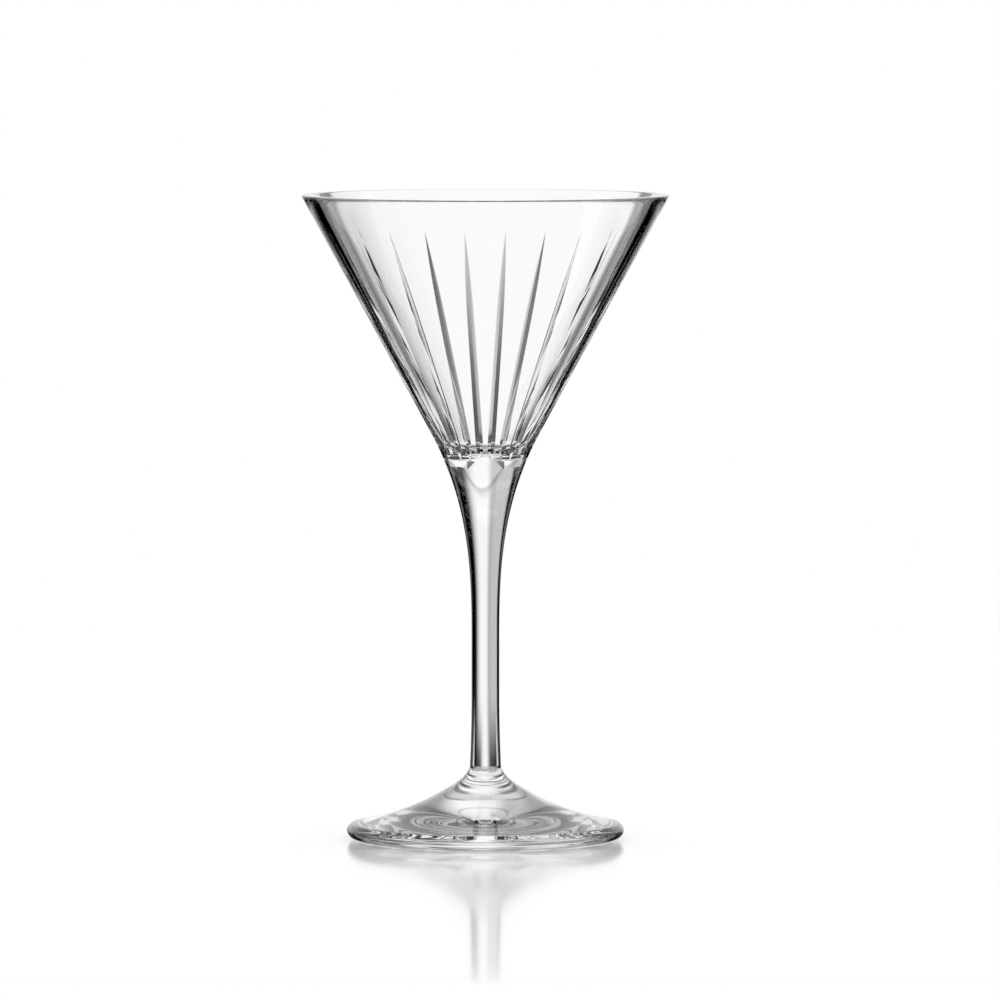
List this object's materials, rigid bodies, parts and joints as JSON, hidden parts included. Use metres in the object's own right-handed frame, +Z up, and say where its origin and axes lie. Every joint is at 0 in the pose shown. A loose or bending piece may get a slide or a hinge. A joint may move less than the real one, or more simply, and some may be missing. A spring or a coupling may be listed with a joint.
{
  "type": "martini glass",
  "caption": "Clear stemmed martini glass with a fluted conical bowl on a drawn stem and a round foot",
  "frame": {"origin": "bottom centre of the foot, on the resting plane and on the glass's axis", "axes": "+Z up along the glass's axis from the foot to the rim; X and Y are level, and -Y is the front"},
  "size_m": [0.1048, 0.105, 0.185],
  "materials": {
    "clear_glass": "fire-polished colourless crystal glass, clear and glossy"
  },
  "bodies": {
    "root": {"bowl": "clear_glass", "stem": "clear_glass", "foot": "clear_glass"}
  },
  "joints": []
}
